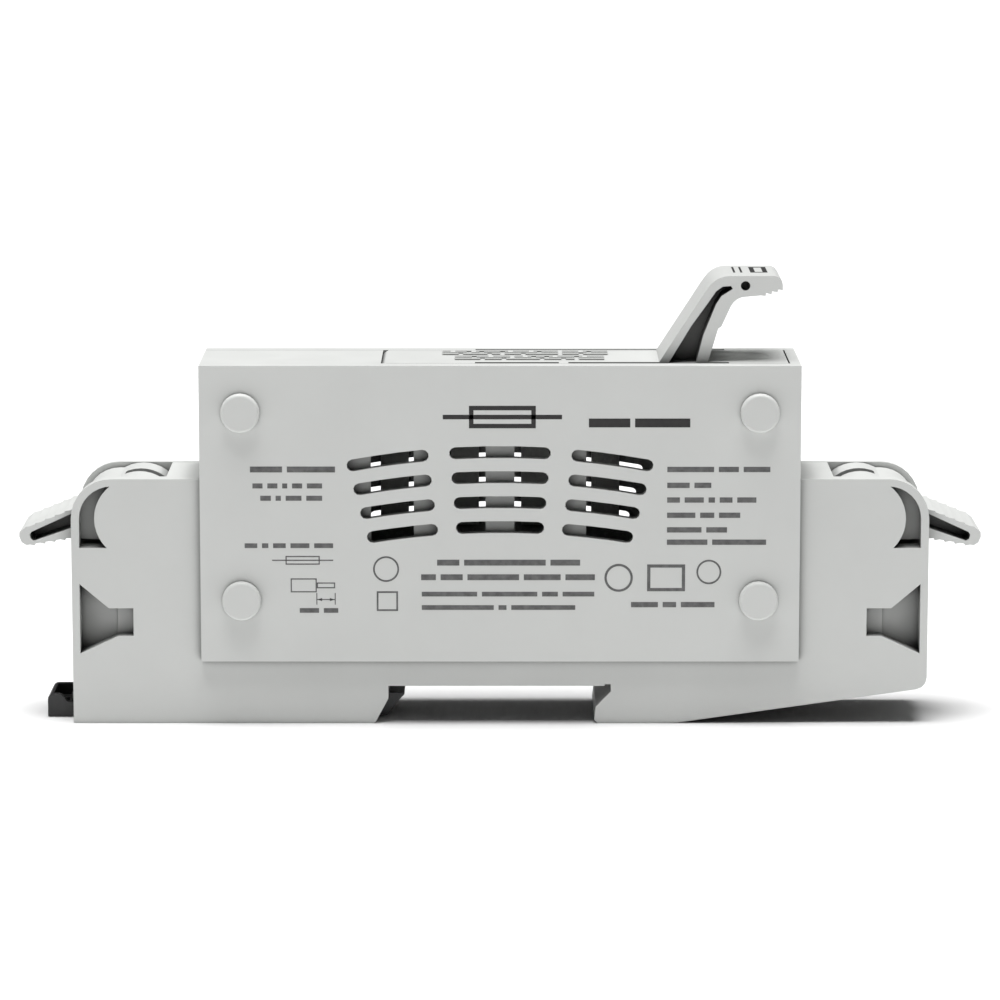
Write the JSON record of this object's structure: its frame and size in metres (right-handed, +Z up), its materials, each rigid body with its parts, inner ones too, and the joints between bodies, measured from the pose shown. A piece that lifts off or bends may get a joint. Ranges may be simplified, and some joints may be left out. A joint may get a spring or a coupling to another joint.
{
  "type": "cartridge fuse holder",
  "caption": "Rail-mounted holder for a long cartridge fuse, with a swing-out fuse carrier, lever-operated wire clamps at both ends and a sliding rail foot.",
  "frame": {"origin": "middle of the housing underside that rests on the rail, half way along the housing and half way through its thickness", "axes": "+X along the holder towards the pull handle's end, +Y from the front face to the rear cover, +Z up away from the rail"},
  "size_m": [0.163, 0.0242, 0.0759],
  "materials": {
    "housing_plastic": "light grey moulded polyamide, fine matt texture",
    "carrier_plastic": "light grey moulded polyamide, fine matt texture",
    "lever_plastic": "light grey moulded polyamide, fine matt texture",
    "foot_plastic": "black moulded polyamide",
    "tinned_copper": "tin-plated copper strip",
    "spring_steel": "rolled spring steel",
    "steel": "turned steel",
    "ceramic": "opaque unglazed ceramic tube",
    "silvered_cap": "silver-plated brass"
  },
  "bodies": {
    "housing": {"housing_body": "housing_plastic", "rear_cover": "housing_plastic", "spacer_stud_left_lower": "housing_plastic", "spacer_stud_left_upper": "housing_plastic", "spacer_stud_right_lower": "housing_plastic", "spacer_stud_right_upper": "housing_plastic", "contact_clip_left": "tinned_copper", "clip_spring_left": "spring_steel", "clip_rivet_left": "steel", "current_bar_left": "tinned_copper", "clamp_spring_left": "spring_steel", "lever_axle_left": "steel", "contact_clip_right": "tinned_copper", "clip_spring_right": "spring_steel", "clip_rivet_right": "steel", "current_bar_right": "tinned_copper", "clamp_spring_right": "spring_steel", "lever_axle_right": "steel"},
    "carrier": {"fuse_carrier": "carrier_plastic", "fuse_tube": "ceramic", "fuse_cap_left": "silvered_cap", "fuse_cap_right": "silvered_cap"},
    "left_lever": {"lever_left": "lever_plastic"},
    "right_lever": {"lever_right": "lever_plastic"},
    "left_leaf": {"clamp_leaf_left": "spring_steel"},
    "right_leaf": {"clamp_leaf_right": "spring_steel"},
    "foot": {"rail_foot": "foot_plastic"}
  },
  "joints": [
    {"name": "fuse_carrier_hinge", "type": "hinge", "parent": "housing", "child": "carrier", "pos_m": [-0.0129, 0.00105, 0.0446], "axis": [0, -1, 0], "range_deg": [0, 65]},
    {"name": "left_lever_hinge", "type": "hinge", "parent": "housing", "child": "left_lever", "pos_m": [-0.06135, 0.00105, 0.02872], "axis": [0, 1, 0], "range_deg": [0, 78]},
    {"name": "right_lever_hinge", "type": "hinge", "parent": "housing", "child": "right_lever", "pos_m": [0.06135, 0.00105, 0.02872], "axis": [0, -1, 0], "range_deg": [0, 78]},
    {"name": "left_leaf_hinge", "type": "hinge", "parent": "housing", "child": "left_leaf", "pos_m": [-0.06135, 0.00105, 0.01942], "axis": [0, -1, 0], "range_deg": [0, 28.1]},
    {"name": "right_leaf_hinge", "type": "hinge", "parent": "housing", "child": "right_leaf", "pos_m": [0.06135, 0.00105, 0.01942], "axis": [0, 1, 0], "range_deg": [0, 28.1]},
    {"name": "rail_foot_slide", "type": "slide", "parent": "housing", "child": "foot", "axis": [-1, 0, 0], "range_m": [0, 0.0032], "stiffness_N_per_m": 800, "springref_m": -0.002}
  ],
  "couplings": [
    {"joint": "left_leaf_hinge", "follows": "left_lever_hinge", "ratio": 0.36},
    {"joint": "right_leaf_hinge", "follows": "right_lever_hinge", "ratio": 0.36}
  ]
}
